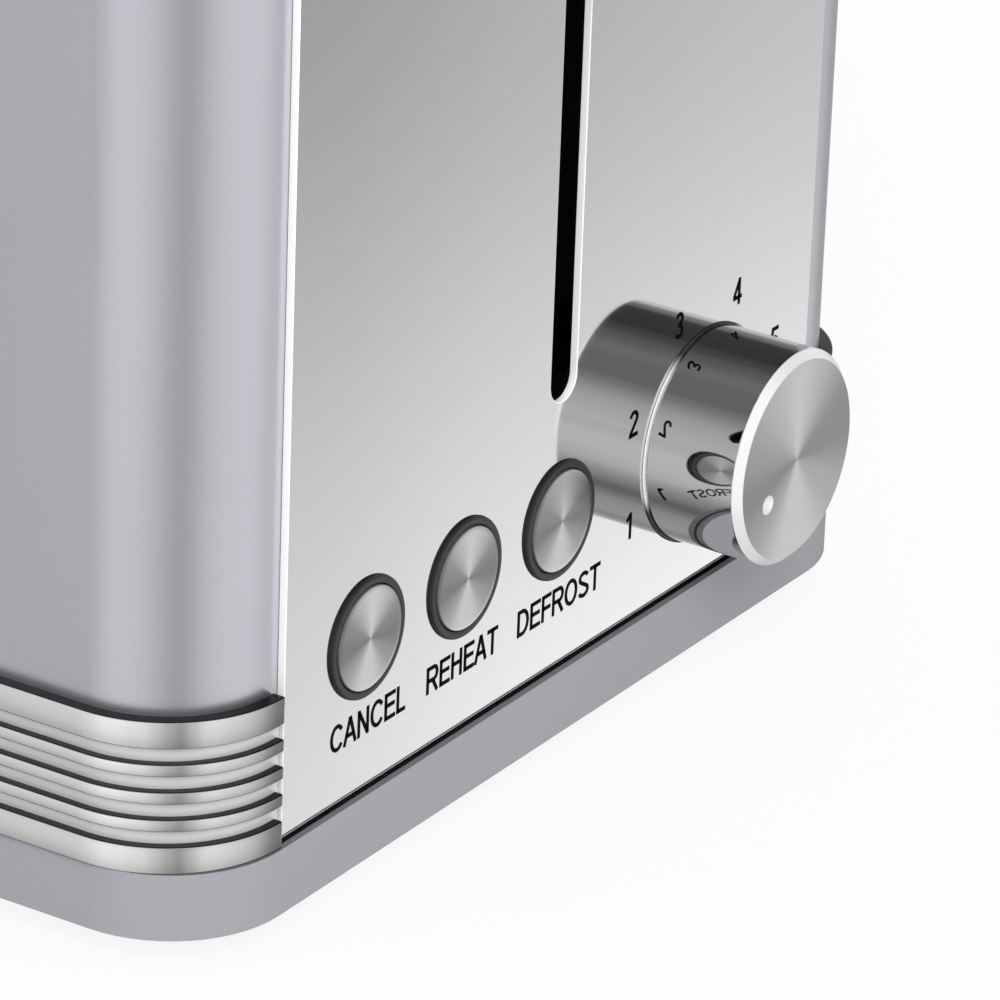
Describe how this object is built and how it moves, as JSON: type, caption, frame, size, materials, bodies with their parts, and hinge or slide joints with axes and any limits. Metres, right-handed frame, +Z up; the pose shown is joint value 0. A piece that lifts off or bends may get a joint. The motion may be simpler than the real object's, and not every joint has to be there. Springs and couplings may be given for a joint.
{
  "type": "pop-up toaster",
  "caption": "Pop-up toaster with wrap-round painted shell, polished end panels, ribbed belt, push buttons, browning dial, sliding lever and crumb tray.",
  "frame": {"origin": "centre of the footprint at table level: the middle of the bounding box's underside", "axes": "+Z up, +Y from the control end to the rear, +X to the right when facing the control end"},
  "size_m": [0.175, 0.2832, 0.1942],
  "materials": {
    "plinth_paint": "satin lavender-grey moulded plastic",
    "rubber": "matt black rubber",
    "shell_paint": "satin pale lavender-grey enamel on sheet steel",
    "polished_panel": "mirror-polished stainless steel sheet",
    "belt_chrome": "polished chrome ribs",
    "chrome": "mirror chrome plating",
    "spun_metal": "spun-brushed with concentric lines",
    "black_plastic": "satin black moulded plastic",
    "board": "green solder-masked circuit board",
    "mica": "translucent brown mica sheet",
    "ribbon": "nickel-chrome heating ribbon",
    "white_plastic": "white moulded nylon",
    "winding": "enamelled copper winding",
    "steel": "plain zinc-plated sheet steel"
  },
  "bodies": {
    "housing": {"plinth": "plinth_paint", "rubber_feet": "rubber", "base_screws": "steel", "base_nuts": "steel", "body_shell": "shell_paint", "front_panel": "polished_panel", "rear_panel": "polished_panel", "top_plate": "polished_panel", "belt_left": "belt_chrome", "belt_right": "belt_chrome", "chassis_base": "steel", "chassis_front_wall": "steel", "chassis_rear_wall": "steel", "reflector_left": "steel", "reflector_right": "steel", "mica_cards": "mica", "heating_ribbons": "ribbon", "control_housing": "black_plastic", "control_board": "board", "board_screws": "steel", "board_parts": "black_plastic", "dial_control": "steel", "dial_nut": "steel", "dial_ring": "chrome", "guide_rod": "chrome", "rod_bracket": "steel", "rod_bumper": "rubber", "magnet_core": "steel", "magnet_coil": "winding", "carriage_spring": "steel", "cord_gland": "black_plastic", "terminal_block": "white_plastic", "panel_screws": "steel"},
    "carriage": {"carriage_block": "black_plastic", "carriage_plate": "steel", "armature": "steel", "rack_left": "steel", "rack_right": "steel", "lever_arm": "steel", "lever_knob": "chrome"},
    "dial": {"dial_knob": "chrome", "dial_face": "spun_metal", "dial_shaft": "steel"},
    "cancel_button": {"cancel_cap": "spun_metal", "cancel_plunger": "black_plastic"},
    "reheat_button": {"reheat_cap": "spun_metal", "reheat_plunger": "black_plastic"},
    "defrost_button": {"defrost_cap": "spun_metal", "defrost_plunger": "black_plastic"},
    "tray": {"crumb_tray": "steel", "tray_handle": "plinth_paint"},
    "guide_1": {"guide_left_outer": "steel"},
    "guide_2": {"guide_left_inner": "steel"},
    "guide_3": {"guide_right_inner": "steel"},
    "guide_4": {"guide_right_outer": "steel"}
  },
  "joints": [
    {"name": "lever_slide", "type": "slide", "parent": "housing", "child": "carriage", "axis": [0, 0, -1], "range_m": [0, 0.078], "stiffness_N_per_m": 35, "springref_m": -0.11, "deforming": ["carriage_spring"]},
    {"name": "dial_turn", "type": "hinge", "parent": "housing", "child": "dial", "pos_m": [0.0384, -0.1146, 0.037], "axis": [0, 1, 0], "range_deg": [0, 242]},
    {"name": "cancel_press", "type": "slide", "parent": "housing", "child": "cancel_button", "axis": [0, 1, 0], "range_m": [0, 0.002], "stiffness_N_per_m": 600, "springref_m": -0.0008},
    {"name": "reheat_press", "type": "slide", "parent": "housing", "child": "reheat_button", "axis": [0, 1, 0], "range_m": [0, 0.002], "stiffness_N_per_m": 600, "springref_m": -0.0008},
    {"name": "defrost_press", "type": "slide", "parent": "housing", "child": "defrost_button", "axis": [0, 1, 0], "range_m": [0, 0.002], "stiffness_N_per_m": 600, "springref_m": -0.0008},
    {"name": "tray_slide", "type": "slide", "parent": "housing", "child": "tray", "axis": [0, 1, 0], "range_m": [0, 0.19]},
    {"name": "guide_1_close", "type": "slide", "parent": "housing", "child": "guide_1", "axis": [1, 0, 0], "range_m": [0, 0.00502]},
    {"name": "guide_2_close", "type": "slide", "parent": "housing", "child": "guide_2", "axis": [-1, 0, 0], "range_m": [0, 0.00502]},
    {"name": "guide_3_close", "type": "slide", "parent": "housing", "child": "guide_3", "axis": [1, 0, 0], "range_m": [0, 0.00502]},
    {"name": "guide_4_close", "type": "slide", "parent": "housing", "child": "guide_4", "axis": [-1, 0, 0], "range_m": [0, 0.00502]}
  ],
  "couplings": [
    {"joint": "guide_1_close", "follows": "lever_slide", "ratio": 0.064103},
    {"joint": "guide_2_close", "follows": "lever_slide", "ratio": 0.064103},
    {"joint": "guide_3_close", "follows": "lever_slide", "ratio": 0.064103},
    {"joint": "guide_4_close", "follows": "lever_slide", "ratio": 0.064103}
  ]
}
